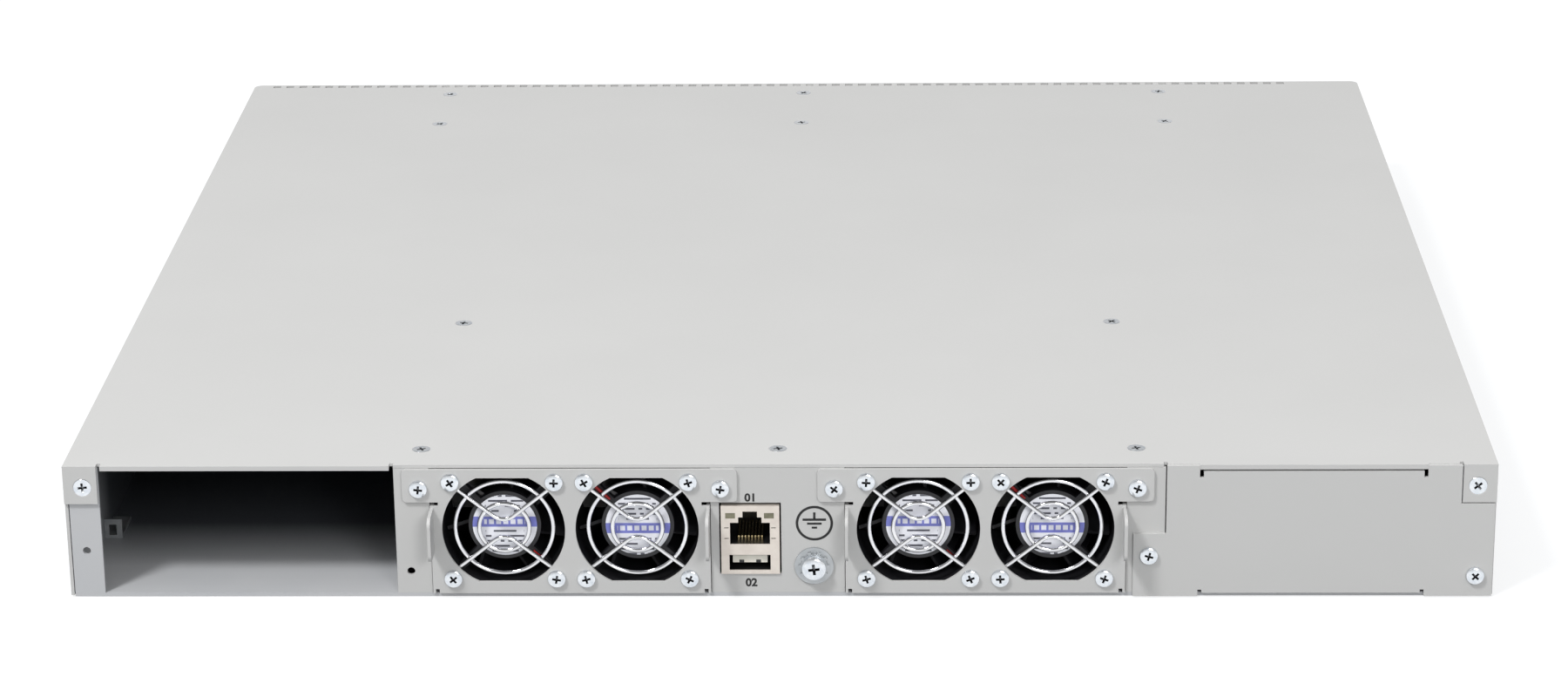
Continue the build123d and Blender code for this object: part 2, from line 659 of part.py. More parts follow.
def block_half(port_w, count):
    return (count * port_w + (count + 1) * cage_wall) / 2


def cage_top():
    return board_top + 3 * cage_wall + 2 * port_h + port_mid - cage_wall


def cage_blocks():
    small = [(x, small_port_w, 3) for x in small_block_x]
    return small + [(x, large_port_w, 2) for x in large_block_x]


def port_levels():
    low = board_top + cage_wall
    return [low, low + port_h + port_mid]


def cage_block(x, port_w, count):
    # pressed plates locked together: floor, roof, back, walls and the shelves between the rows
    half = block_half(port_w, count)
    y1 = panel_y1 + 0.9
    y0 = y1 - cage_l
    top = cage_top()
    plates = [block(x - half, x + half, y0, y1, board_top, board_top + cage_wall)]
    plates.append(block(x - half, x + half, y0, y1, top - cage_wall, top))
    plates.append(block(x - half, x + half, y0 - cage_wall, y0, board_top, top))
    for i in range(count + 1):
        wx = x - half + i * (port_w + cage_wall)
        plates.append(block(wx, wx + cage_wall, y0, y1, board_top + cage_wall, top - cage_wall))
    for i in range(count):
        px = x - half + cage_wall + i * (port_w + cage_wall)
        low = port_levels()[0] + port_h
        for z in (low, low + port_mid - cage_wall):
            plates.append(block(px, px + port_w, y0, y1, z, z + cage_wall))
    return plates


def port_cages():
    plates = []
    for x, port_w, count in cage_blocks():
        plates += cage_block(x, port_w, count)
    return plates


def psu_backplanes():
    y0 = inner_rear + divider_l + 1.0
    return [block(s * supply_x - 44, s * supply_x + 44, y0, y0 + board_t, board_top, 39.0) for s in (-1, 1)]


def psu_connectors():
    y0 = inner_rear + divider_l + 1.0
    out = []
    for s in (-1, 1):
        body = block(s * supply_x - 28, s * supply_x + 28, y0 - 11, y0, 12.0, 24.0)
        out.append(body - block(s * supply_x - 25, s * supply_x + 25, y0 - 12, y0 - 3, 15.0, 21.0))
    return out


chip_x, chip_y, chip_size, chip_h = 0.0, 60.0, 45.0, 3.0
cpu_x, cpu_y, cpu_size = 55.0, -60.0, 24.0


def board_chips():
    out = [block(chip_x - chip_size / 2, chip_x + chip_size / 2, chip_y - chip_size / 2,
                 chip_y + chip_size / 2, board_top, board_top + chip_h)]
    out.append(block(cpu_x - cpu_size / 2, cpu_x + cpu_size / 2, cpu_y - cpu_size / 2,
                     cpu_y + cpu_size / 2, board_top, board_top + chip_h))
    for i in range(4):
        x = -80 + 17 * i
        out.append(block(x, x + 11, -70, -56, board_top, board_top + 1.2))
    for i in range(6):
        x = -78 + 14 * i
        out.append(block(x, x + 10, -132, -122, board_top, board_top + 6.0))
    for i in range(5):
        out.append(rod_z(-72 + 16 * i, -106, 4.0, board_top, board_top + 11.0))
    return out + [button_switch()]


def heatsink(x, y, size, fins, top):
    base = board_top + chip_h
    sink = block(x - size / 2, x + size / 2, y - size / 2, y + size / 2, base, base + 4.0)
    pitch = (size - 1.2) / (fins - 1)
    for i in range(fins):
        fx = x - size / 2 + i * pitch
        sink += block(fx, fx + 1.2, y - size / 2, y + size / 2, base + 3.0, top)
    return sink


def heatsinks():
    return [heatsink(chip_x, chip_y, 90.0, 24, 36.0), heatsink(cpu_x, cpu_y, 46.0, 13, 32.0)]


def save(name, shape):
    solids = shape if isinstance(shape, list) else [shape]
    flat = []
    for item in solids:
        flat += item.solids()
    body = flat[0] if len(flat) == 1 else Compound(children=flat)
    export_step(body, f"parts/{name}.step")


def main():
    os.makedirs("parts", exist_ok=True)
    save("chassis_tray", chassis_tray())
    save("top_cover", top_cover())
    save("rear_panel", rear_panel())
    save("bay_divider_left", bay_divider(-1))
    save("bay_divider_right", bay_divider(1))
    save("front_panel", front_panel())
    save("front_crossbar", front_crossbar())
    save("bay_blank", bay_blank())
    save("blank_screws", blank_screws())
    save("bay_lugs", bay_lugs())
    save("cover_screws", cover_screws())
    save("earth_washers", earth_washers())
    save("earth_screw", earth_screw())
    save("main_board", main_board())
    save("standoffs", standoffs())
    save("board_screws", board_screws())
    save("board_chips", board_chips())
    save("heatsinks", heatsinks())
    save("jack_shield", jack_shield())
    save("jack_housing", jack_housing())
    save("jack_contacts", jack_contacts())
    save("light_pipes", light_pipes())
    save("light_carrier", light_carrier())
    save("fan_sockets", fan_sockets())
    save("psu_backplanes", psu_backplanes())
    save("psu_connectors", psu_connectors())
    save("port_cages", port_cages())
    save("mode_button", mode_button())
    number = 1
    for side, name in ((-1, "left"), (1, "right")):
        save(f"module_plate_{name}", module_plate(side))
        save(f"module_screws_{name}", module_screws(side))
        save(f"module_plug_{name}", module_plug(side))
        save(f"fan_screws_{name}", fan_screws(side))
        centres = fan_centres(side)
        save(f"fan_bearings_{name}", [fan_bearing(x) for x in centres])
        save(f"fan_stators_{name}", [fan_stator(x) for x in centres])
        save(f"fan_labels_{name}", [fan_label(x) for x in centres])
        leads = []
        for i, x in enumerate(centres):
            leads.append(fan_lead(x, i == 1))
        save(f"fan_leads_{name}", leads)
        for i, x in enumerate(centres):
            save(f"fan_frame_{number}", fan_frame(x, i == 1))
            save(f"fan_impeller_{number}", impeller(x))
            save(f"fan_shaft_{number}", fan_shaft(x))
            save(f"fan_guard_{number}", fan_guard(x))
            number += 1


main()
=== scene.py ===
import json
import math
import bmesh
import bpy
from mathutils import Matrix, Vector

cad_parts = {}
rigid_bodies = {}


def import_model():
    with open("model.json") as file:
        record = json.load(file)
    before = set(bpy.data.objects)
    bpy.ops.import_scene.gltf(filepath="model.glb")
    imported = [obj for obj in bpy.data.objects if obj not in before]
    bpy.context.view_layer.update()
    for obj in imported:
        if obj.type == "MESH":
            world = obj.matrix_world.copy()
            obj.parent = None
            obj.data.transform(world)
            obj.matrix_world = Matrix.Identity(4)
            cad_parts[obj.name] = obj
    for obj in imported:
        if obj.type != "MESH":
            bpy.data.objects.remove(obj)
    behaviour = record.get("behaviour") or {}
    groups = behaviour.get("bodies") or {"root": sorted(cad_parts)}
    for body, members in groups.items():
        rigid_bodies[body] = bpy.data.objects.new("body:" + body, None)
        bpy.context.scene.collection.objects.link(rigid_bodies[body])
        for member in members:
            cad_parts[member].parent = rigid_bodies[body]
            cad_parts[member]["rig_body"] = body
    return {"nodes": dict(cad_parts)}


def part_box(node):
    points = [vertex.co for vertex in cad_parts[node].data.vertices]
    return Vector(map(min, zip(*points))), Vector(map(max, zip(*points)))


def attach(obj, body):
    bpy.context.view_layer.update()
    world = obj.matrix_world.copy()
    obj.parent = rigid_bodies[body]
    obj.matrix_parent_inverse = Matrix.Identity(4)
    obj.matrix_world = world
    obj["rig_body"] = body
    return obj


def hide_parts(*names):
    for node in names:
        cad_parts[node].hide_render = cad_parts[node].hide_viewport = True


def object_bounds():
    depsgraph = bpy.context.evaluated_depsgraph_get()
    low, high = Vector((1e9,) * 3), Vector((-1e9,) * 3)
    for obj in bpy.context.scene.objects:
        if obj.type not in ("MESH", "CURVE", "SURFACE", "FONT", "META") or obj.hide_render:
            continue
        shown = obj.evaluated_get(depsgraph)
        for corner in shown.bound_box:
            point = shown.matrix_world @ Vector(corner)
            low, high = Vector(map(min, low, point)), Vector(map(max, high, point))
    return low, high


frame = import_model()
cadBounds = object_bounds()
mm = 0.001
lowCorner = cadBounds[0]
print("frame loaded:", len(frame["nodes"]), "nodes")


# ---------- small helpers ----------

def linear(hexText):  # sRGB hex to the linear colour a shader takes
    values = [int(hexText[i:i + 2], 16) / 255 for i in (1, 3, 5)]
    return tuple(v / 12.92 if v <= 0.04045 else ((v + 0.055) / 1.055) ** 2.4 for v in values) + (1.0,)


def addNode(tree, kind, links=None, settings=None, **fields):
    # links: input name or index -> (node, output), settings: input name or index -> value
    node = tree.nodes.new(kind)
    for name, value in fields.items():
        setattr(node, name, value)
    for key, value in (settings or {}).items():
        node.inputs[key].default_value = value
    for key, (source, output) in (links or {}).items():
        tree.links.new(source.outputs[output], node.inputs[key])
    return node


def meshObject(name, mesh):
    piece = bpy.data.objects.new(name, mesh)
    bpy.context.scene.collection.objects.link(piece)
    return piece


def paint(piece, material):
    piece.data.materials.clear()
    piece.data.materials.append(material)


def smoothByAngle(mesh, degrees=32):
    mesh.set_sharp_from_angle(angle=math.radians(degrees))


def baked(piece):  # the modifiers' result as a plain mesh
    bpy.context.view_layer.update()
    shown = piece.evaluated_get(bpy.context.evaluated_depsgraph_get())
    mesh = bpy.data.meshes.new_from_object(shown)
    name = piece.name
    bpy.data.objects.remove(piece)
    return meshObject(name, mesh)


def solidsOf(node):  # the box of each separate solid in a CAD node, and of nothing else
    work = bmesh.new()
    work.from_mesh(frame["nodes"][node].data)
    bmesh.ops.remove_doubles(work, verts=work.verts, dist=1e-6)
    seen, boxes = set(), []
    for start in work.verts:
        if start in seen:
            continue
        stack, low, high = [start], start.co.copy(), start.co.copy()
        seen.add(start)
        while stack:
            vert = stack.pop()
            low = Vector(map(min, low, vert.co))
            high = Vector(map(max, high, vert.co))
            for edge in vert.link_edges:
                other = edge.other_vert(vert)
                if other not in seen:
                    seen.add(other)
                    stack.append(other)
        boxes.append((low, high))
    work.free()
    return sorted(boxes, key=lambda b: (round(b[0].x, 5), round(b[0].y, 5), b[0].z))


def standIn(piece, node, material):
    paint(piece, material)
    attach(piece, frame["nodes"][node]["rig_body"])
    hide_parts(node)


# ---------- materials ----------

def newMaterial(name):
    material = bpy.data.materials.new(name)
    material.use_nodes = True
    tree = material.node_tree
    return material, tree, tree.nodes["Principled BSDF"]


def grain(tree, sizeMm, detail=3.0, stretch=(1, 1, 1)):  # noise whose cell is a real size
    place = addNode(tree, "ShaderNodeTexCoord")
    scaled = addNode(tree, "ShaderNodeMapping", {0: (place, "Object")}, {"Scale": stretch})
    return addNode(tree, "ShaderNodeTexNoise", {"Vector": (scaled, 0)},
                   {"Scale": 1 / (sizeMm * mm), "Detail": detail, "Roughness": 0.55})


def tint(tree, shader, source, darkHex, lightHex, low=0.3, high=0.7):  # colour wanders between two hexes
    ramp = addNode(tree, "ShaderNodeValToRGB", {0: (source, "Fac")})
    ramp.color_ramp.elements[0].position, ramp.color_ramp.elements[1].position = low, high
    ramp.color_ramp.elements[0].color, ramp.color_ramp.elements[1].color = linear(darkHex), linear(lightHex)
    tree.links.new(ramp.outputs[0], shader.inputs["Base Color"])


def rough(tree, shader, source, low, high):
    spread = addNode(tree, "ShaderNodeMapRange", {"Value": (source, "Fac")}, {"To Min": low, "To Max": high})
    tree.links.new(spread.outputs[0], shader.inputs["Roughness"])


def relief(tree, shader, source, heightMm, strength):
    bump = addNode(tree, "ShaderNodeBump", {"Height": (source, "Fac")},
                   {"Distance": heightMm * mm, "Strength": strength})
    tree.links.new(bump.outputs[0], shader.inputs["Normal"])


def makeMaterial(name, dark, light, metallic, roughLow, roughHigh, wander, pitch, height, strength, **more):
    # wander: size of the colour drift, pitch: size of the surface grain, both in mm
    material, tree, shader = newMaterial(name)
    shader.inputs["Metallic"].default_value = metallic
    drift = grain(tree, wander, 2.0)
    fine = grain(tree, pitch, 4.0, more.pop("stretch", (1, 1, 1)))
    tint(tree, shader, drift, dark, light)
    rough(tree, shader, fine, roughLow, roughHigh)
    relief(tree, shader, fine, height, strength)
    for key, value in more.items():
        shader.inputs[key.replace("_", " ")].default_value = value
    return material


finishes = {
    # polyester powder coat, fine texture: soft sheen and a faint orange peel about 1 mm across
    "powderCoat": dict(dark="#bdbdbc", light="#bfbfbe", metallic=0.0, roughLow=0.42, roughHigh=0.56,
                       wander=60, pitch=0.9, height=0.03, strength=0.22),
    # the same coat inside the bays, a little darker as painted shade, and a little duller
    "innerCoat": dict(dark="#b4b6b9", light="#babbbd", metallic=0.0, roughLow=0.5, roughHigh=0.62,
                      wander=40, pitch=1.2, height=0.03, strength=0.2),
    # galvanised steel: spangle about 6 mm across, cool and cloudy
    "galvanised": dict(dark="#a3a7aa", light="#b9bcbe", metallic=0.85, roughLow=0.32, roughHigh=0.5,
                       wander=6, pitch=2.0, height=0.01, strength=0.15),
    # bright zinc plate with a blue passivate: cool highlights on the screw heads
    "blueZinc": dict(dark="#d3d9e0", light="#e8ebee", metallic=0.95, roughLow=0.16, roughHigh=0.24,
                     wander=1.6, pitch=0.6, height=0.003, strength=0.05),
    # bright nickel-chrome plated wire: near mirror
    "chromedWire": dict(dark="#dcdde0", light="#eaeaec", metallic=1.0, roughLow=0.07, roughHigh=0.13,
                        wander=3, pitch=0.5, height=0.004, strength=0.15),
    # glass-filled PBT moulding: black, matt, with a faint flow texture
    "fanMoulding": dict(dark="#17171a", light="#202024", metallic=0.0, roughLow=0.38, roughHigh=0.55,
                        wander=9, pitch=0.5, height=0.02, strength=0.3),
    # tin-plated brass can: warm grey, satin
    "tinPlate": dict(dark="#d3cac1", light="#ded6cd", metallic=0.45, roughLow=0.32, roughHigh=0.46,
                     wander=4, pitch=0.6, height=0.006, strength=0.2),
    # moulded nylon insert: black with a low sheen
    "blackNylon": dict(dark="#121213", light="#1a1a1b", metallic=0.0, roughLow=0.35, roughHigh=0.5,
                       wander=5, pitch=0.5, height=0.01, strength=0.25),
    # natural nylon insulator: cream, slightly waxy
    "creamNylon": dict(dark="#d9d6ca", light="#e6e3d8", metallic=0.0, roughLow=0.4, roughHigh=0.5,
                       wander=4, pitch=0.5, height=0.01, strength=0.2),
    # flash gold over nickel: pale and bright
    "goldFlash": dict(dark="#d9c089", light="#ecd9ab", metallic=1.0, roughLow=0.18, roughHigh=0.28,
                      wander=2, pitch=0.4, height=0.004, strength=0.1),
    # green solder mask over glass-epoxy: glossy, with the weave just showing
    "solderMask": dict(dark="#0f3d22", light="#165030", metallic=0.0, roughLow=0.24, roughHigh=0.36,
                       wander=14, pitch=0.7, height=0.02, strength=0.25),
    # epoxy moulding compound: dull black
    "chipEpoxy": dict(dark="#1a1a1c", light="#242426", metallic=0.0, roughLow=0.5, roughHigh=0.65,
                      wander=6, pitch=0.4, height=0.01, strength=0.3),
    # extruded aluminium, natural: fine die lines along the fins
    "extrudedAluminium": dict(dark="#b2b4b6", light="#c6c8ca", metallic=1.0, roughLow=0.28, roughHigh=0.42,
                              wander=12, pitch=0.6, height=0.01, strength=0.3, stretch=(1, 0.05, 1)),
    # nickel-plated strip of the cages: slightly yellow, satin
    "nickelPlate": dict(dark="#a9a69e", light="#c2bfb7", metallic=0.95, roughLow=0.26, roughHigh=0.4,
                        wander=5, pitch=0.5, height=0.006, strength=0.2),
    # PVC lead insulation: saturated red, slightly waxy
    "redPvc": dict(dark="#9c1414", light="#b51d1a", metallic=0.0, roughLow=0.35, roughHigh=0.45,
                   wander=3, pitch=0.3, height=0.005, strength=0.2),
    # enamelled copper wire, wound: ridged along the turns
    "enamelledCopper": dict(dark="#7a3a18", light="#a5562a", metallic=0.9, roughLow=0.25, roughHigh=0.4,
                            wander=2, pitch=0.35, height=0.05, strength=0.5, stretch=(0.1, 1, 1)),
    # ground steel of shafts and sleeves
    "groundSteel": dict(dark="#9fa1a3", light="#b4b6b8", metallic=1.0, roughLow=0.18, roughHigh=0.28,
                        wander=4, pitch=0.3, height=0.003, strength=0.2, stretch=(1, 8, 1)),
    # screen-printed epoxy ink: black, flat
    "printInk": dict(dark="#0c0c0d", light="#141415", metallic=0.0, roughLow=0.5, roughHigh=0.65,
                     wander=2, pitch=0.3, height=0.004, strength=0.2),
    # ABS button cap: mid grey, fine spark texture
    "greyAbs": dict(dark="#3c3e40", light="#484a4c", metallic=0.0, roughLow=0.4, roughHigh=0.5,
                    wander=3, pitch=0.3, height=0.01, strength=0.3),
}
mat = {name: makeMaterial(name, **values) for name, values in finishes.items()}


# painted shade deep in the bays: the mouth, where the shade begins and where it is darkest (mm past the
# mouth), and its colour
bayShadeReach = dict(mouthMm=11.6, shadeStartMm=22, shadeDarkestMm=58, shadeHex="#3d4045")


def paintBayShade():
    # painted shade: past the mouth the bays' walls and floor darken with depth, standing in for the shade
    # deep inside
    tree = mat["innerCoat"].node_tree
    shader = tree.nodes["Principled BSDF"]
    coat = shader.inputs["Base Color"].links[0].from_socket
    place = addNode(tree, "ShaderNodeTexCoord")
    axes = addNode(tree, "ShaderNodeSeparateXYZ", {0: (place, "Object")})
    mouth = lowCorner.y + bayShadeReach["mouthMm"] * mm
    shadeStart, shadeDarkest = mouth + bayShadeReach["shadeStartMm"] * mm, mouth + bayShadeReach["shadeDarkestMm"] * mm
    depth = addNode(tree, "ShaderNodeMapRange", {"Value": (axes, "Y")}, {"From Min": shadeStart, "From Max": shadeDarkest})
    shadeColour = linear(bayShadeReach["shadeHex"])
    mixed = addNode(tree, "ShaderNodeMix", {0: (depth, 0)}, {7: shadeColour}, data_type="RGBA")
    tree.links.new(coat, mixed.inputs[6])
    tree.links.new(mixed.outputs[2], shader.inputs["Base Color"])


paintBayShade()


def paintRecessShade(name, reachMm, power):  # painted shade: ambient occlusion darkens the driver recesses and the heads' rims by the panel
    tree = mat[name].node_tree
    shader = tree.nodes["Principled BSDF"]
    plain = shader.inputs["Base Color"].links[0].from_socket
    occlusion = addNode(tree, "ShaderNodeAmbientOcclusion", {}, {"Distance": reachMm * mm}, only_local=True)
    curve = addNode(tree, "ShaderNodeMath", {0: (occlusion, "AO")}, {1: power}, operation="POWER")
    mixed = addNode(tree, "ShaderNodeMix", {0: (curve, 0)}, {6: linear("#17181a")}, data_type="RGBA")
    tree.links.new(plain, mixed.inputs[7])
    tree.links.new(mixed.outputs[2], shader.inputs["Base Color"])


# painted shade in the recesses of the zinc heads
paintRecessShade("blueZinc", 1.2, 3.0)


def lightPipeMaterial():  # clear acrylic light pipe, unlit: pale amber-grey with some depth
    material, tree, shader = newMaterial("clearAcrylic")
    cloud = grain(tree, 2.0, 2.0)
    tint(tree, shader, cloud, "#6f6d58", "#8a8770")
    shader.inputs["Roughness"].default_value = 0.16
    shader.inputs["Transmission Weight"].default_value = 0.15
    shader.inputs["IOR"].default_value = 1.49
    return material


# shares of the label's width and height; the rows, blocks and dashes are counts across it
labelLook = dict(bandLow=0.47, bandHigh=0.64, bandMiddle=0.555, bandClear=0.13,
                 barInset=0.045, barHalf=0.32, blocks=9.0, blockGap=0.3,
                 rows=12.0, rowGap=0.62, rowShift=0.37, rowSeed=41.0,
                 dashes=17.0, dashGap=0.3, dashHalf=0.3)


def labelMaterial():
    # printed polyester film: pale lilac-white, one blue band with a row of blocks on it, rows of fine dashes
    material, tree, shader = newMaterial("printedFilm")
    uv = addNode(tree, "ShaderNodeUVMap", uv_map="labelMap")
    axes = addNode(tree, "ShaderNodeSeparateXYZ", {0: (uv, 0)})

    def maths(kind, a, b=None):
        links, settings = {}, {}
        for index, value in enumerate((a, b)):
            if value is None:
                continue
            if isinstance(value, tuple):
                links[index] = value
            else:
                settings[index] = value
        return (addNode(tree, "ShaderNodeMath", links, settings, operation=kind), 0)

    look = labelLook
    across, up = (axes, 0), (axes, 1)
    band = maths("MULTIPLY", maths("GREATER_THAN", up, look["bandLow"]),
                 maths("LESS_THAN", up, look["bandHigh"]))
    barUp = maths("MULTIPLY", maths("GREATER_THAN", up, look["bandLow"] + look["barInset"]),
                  maths("LESS_THAN", up, look["bandHigh"] - look["barInset"]))
    aside = maths("ABSOLUTE", maths("SUBTRACT", across, 0.5))
    blockPhase = maths("FRACT", maths("MULTIPLY", across, look["blocks"]))
    blocks = maths("GREATER_THAN", blockPhase, look["blockGap"])
    middle = maths("LESS_THAN", aside, look["barHalf"])
    pale = maths("MULTIPLY", barUp, maths("MULTIPLY", blocks, middle))
    rowPhase = maths("MULTIPLY", up, look["rows"])
    inRow = maths("GREATER_THAN", maths("FRACT", rowPhase), look["rowGap"])
    rowNumber = maths("FLOOR", rowPhase)
    dashStart = maths("MULTIPLY", rowNumber, look["rowShift"])  # each row's dashes begin elsewhere
    dashPhase = maths("ADD", maths("MULTIPLY", across, look["dashes"]), dashStart)
    dashNumber = maths("ADD", maths("FLOOR", dashPhase), maths("MULTIPLY", rowNumber, look["rowSeed"]))
    noise = addNode(tree, "ShaderNodeTexWhiteNoise", {"W": dashNumber}, noise_dimensions="1D")
    inDash = maths("GREATER_THAN", (noise, 0), look["dashGap"])
    width = maths("LESS_THAN", aside, look["dashHalf"])
    fromBand = maths("ABSOLUTE", maths("SUBTRACT", up, look["bandMiddle"]))
    clear = maths("GREATER_THAN", fromBand, look["bandClear"])
    dashes = maths("MULTIPLY", maths("MULTIPLY", inRow, inDash), maths("MULTIPLY", width, clear))
    base = addNode(tree, "ShaderNodeMix", {0: band}, {6: linear("#e9eaf0"), 7: linear("#767bc4")},
                   data_type="RGBA")
    barred = addNode(tree, "ShaderNodeMix", {0: pale, 6: (base, 2)}, {7: linear("#e2e3ee")}, data_type="RGBA")
    ink = linear("#55565f")
    inked = addNode(tree, "ShaderNodeMix", {0: dashes, 6: (barred, 2)}, {7: ink}, data_type="RGBA")
    tree.links.new(inked.outputs[2], shader.inputs["Base Color"])
    shader.inputs["Metallic"].default_value = 0.05
    fine = grain(tree, 0.8, 3.0)
    rough(tree, shader, fine, 0.26, 0.38)
    relief(tree, shader, fine, 0.01, 0.2)
    return material


mat["clearAcrylic"] = lightPipeMaterial()
mat["printedFilm"] = labelMaterial()
print("materials made:", len(mat))

nodeFinish = {
    "top_cover": "powderCoat", "chassis_tray": "innerCoat",
    "rear_panel": "powderCoat", "bay_blank": "powderCoat",
    "bay_divider_left": "innerCoat", "bay_divider_right": "innerCoat", "front_panel": "powderCoat",
    "front_crossbar": "galvanised", "bay_lugs": "galvanised", "blank_screws": "blueZinc",
    "cover_screws": "blueZinc", "earth_washers": "galvanised", "earth_screw": "blueZinc",
    "main_board": "solderMask", "standoffs": "blueZinc", "board_screws": "blueZinc",
    "board_chips": "chipEpoxy",
    "heatsinks": "extrudedAluminium", "jack_shield": "tinPlate", "jack_housing": "blackNylon",
    "jack_contacts": "goldFlash", "light_pipes": "clearAcrylic", "light_carrier": "blackNylon",
    "fan_sockets": "blackNylon", "psu_backplanes": "solderMask", "psu_connectors": "blackNylon",
    "port_cages": "nickelPlate", "mode_button": "greyAbs", "module_plate": "powderCoat",
    "module_screws": "blueZinc", "module_plug": "blackNylon", "fan_screws": "blueZinc",
    "fan_bearings": "groundSteel", "fan_stators": "enamelledCopper", "fan_labels": "printedFilm",
    "fan_leads": "redPvc", "fan_frame": "fanMoulding", "fan_impeller": "fanMoulding",
    "fan_shaft": "groundSteel", "fan_guard": "chromedWire",
}


def finishOf(node):
    return mat[nodeFinish.get(node) or nodeFinish[node.rsplit("_", 1)[0]]]


for nodeName, cadPiece in frame["nodes"].items():
    paint(cadPiece, finishOf(nodeName))


# ---------- folded sheets with broken edges ----------

sheetEdge = dict(widthMm=0.3, segments=3, angle=40)


def foldedSheet(node):
    mesh = frame["nodes"][node].data.copy()
    work = bmesh.new()
    work.from_mesh(mesh)
    bmesh.ops.remove_doubles(work, verts=work.verts, dist=1e-6)
    bmesh.ops.dissolve_limit(work, angle_limit=math.radians(1), verts=work.verts, edges=work.edges)
    work.to_mesh(mesh)
    work.free()
    piece = meshObject(node + "_sheet", mesh)
    bevel = piece.modifiers.new("brokenEdge", "BEVEL")
    bevel.width, bevel.segments = sheetEdge["widthMm"] * mm, sheetEdge["segments"]
    bevel.limit_method, bevel.angle_limit = "ANGLE", math.radians(sheetEdge["angle"])
    bevel.use_clamp_overlap = True
    piece = baked(piece)
    for polygon in piece.data.polygons:
        polygon.use_smooth = False  # wide flat faces stay flat
    standIn(piece, node, finishOf(node))
    return piece


for sheetNode in ("top_cover", "rear_panel", "bay_blank", "module_plate_left", "module_plate_right"):
    foldedSheet(sheetNode)
print("sheets folded")


# ---------- screws, set out by Geometry Nodes ----------

def latheMesh(name, profile, segments):
    # profile: (radius, height) pairs from the lower axis to the upper axis
    work = bmesh.new()
    rings = []
    for radius, height in profile:
        if radius < 1e-9:
            rings.append([work.verts.new((0, 0, height))])
            continue
        ring = []
        for i in range(segments):
            turn = 2 * math.pi * i / segments
            ring.append(work.verts.new((radius * math.cos(turn), radius * math.sin(turn), height)))
        rings.append(ring)
    for lower, upper in zip(rings, rings[1:]):
        for i in range(segments):
            j = (i + 1) % segments
            corners = [lower[i % len(lower)], lower[j % len(lower)]]
            corners += [upper[j % len(upper)], upper[i % len(upper)]]
            unique = []
            for corner in corners:
                if corner not in unique:
                    unique.append(corner)
            if len(unique) > 2:
                work.faces.new(unique)
    bmesh.ops.recalc_face_normals(work, faces=work.faces)
    mesh = bpy.data.meshes.new(name)
    work.to_mesh(mesh)
    work.free()
    return mesh


def crossCutter(size, depth, top):  # tapered cross recess, one arm at a time
    arms = []
    for turn in (0, math.pi / 2):
        work = bmesh.new()
        bmesh.ops.create_cube(work, size=1)
        for vert in work.verts:
            low = vert.co.z < 0
            vert.co.x *= size * (0.45 if low else 1.12)
            vert.co.y *= size * (0.14 if low else 0.27)
            vert.co.z = top - depth if low else top + depth * 0.4
        bmesh.ops.rotate(work, verts=work.verts, matrix=Matrix.Rotation(turn, 3, "Z"))
        mesh = bpy.data.meshes.new("recessArm")
        work.to_mesh(mesh)
        work.free()
        arms.append(meshObject("recessArm", mesh))
    return arms


screwKinds = {
    # headR, headH, crown, recess size and depth, shank radius and length, all in mm
    "pan": dict(headR=2.75, headH=1.5, crown=0.55, recess=3.0, recessDeep=1.1, shankR=1.5, shankL=5.0),
    "earth": dict(headR=3.75, headH=2.6, crown=0.9, recess=3.9, recessDeep=1.7, shankR=2.0, shankL=7.0),
    "flat": dict(headR=2.85, headH=0.0, crown=0.0, recess=3.2, recessDeep=0.8, shankR=1.5, shankL=4.0),
}


def screwObject(kind):
    v = {name: value * mm for name, value in screwKinds[kind].items()}
    profile = [(0, -v["shankL"]), (v["shankR"] * 0.8, -v["shankL"]), (v["shankR"], -v["shankL"] + 0.4 * mm)]
    if kind == "flat":
        cone = 0.95 * mm
        profile += [(v["shankR"], -cone), (v["headR"] - 0.05 * mm, -0.08 * mm)]
        profile += [(v["headR"] - 0.12 * mm, -0.01 * mm), (0, -0.01 * mm)]
    else:
        side = v["headH"] - v["crown"]
        profile += [(v["shankR"], 0), (v["headR"] - 0.1 * mm, 0), (v["headR"], 0.12 * mm)]
        for i in range(7):
            a = math.pi / 2 * i / 6
            radius = v["headR"] * math.cos(a) ** 0.8 if i < 6 else 0.0
            profile.append((radius, side + v["crown"] * math.sin(a)))
    body = meshObject("screw_" + kind, latheMesh("screw_" + kind, profile, 40))
    arms = crossCutter(v["recess"], v["recessDeep"], v["headH"])
    for arm in arms:
        cut = body.modifiers.new("recess", "BOOLEAN")
        cut.operation, cut.solver, cut.object = "DIFFERENCE", "EXACT", arm
    body = baked(body)
    for arm in arms:
        bpy.data.objects.remove(arm)
    smoothByAngle(body.data, 30)
    return body


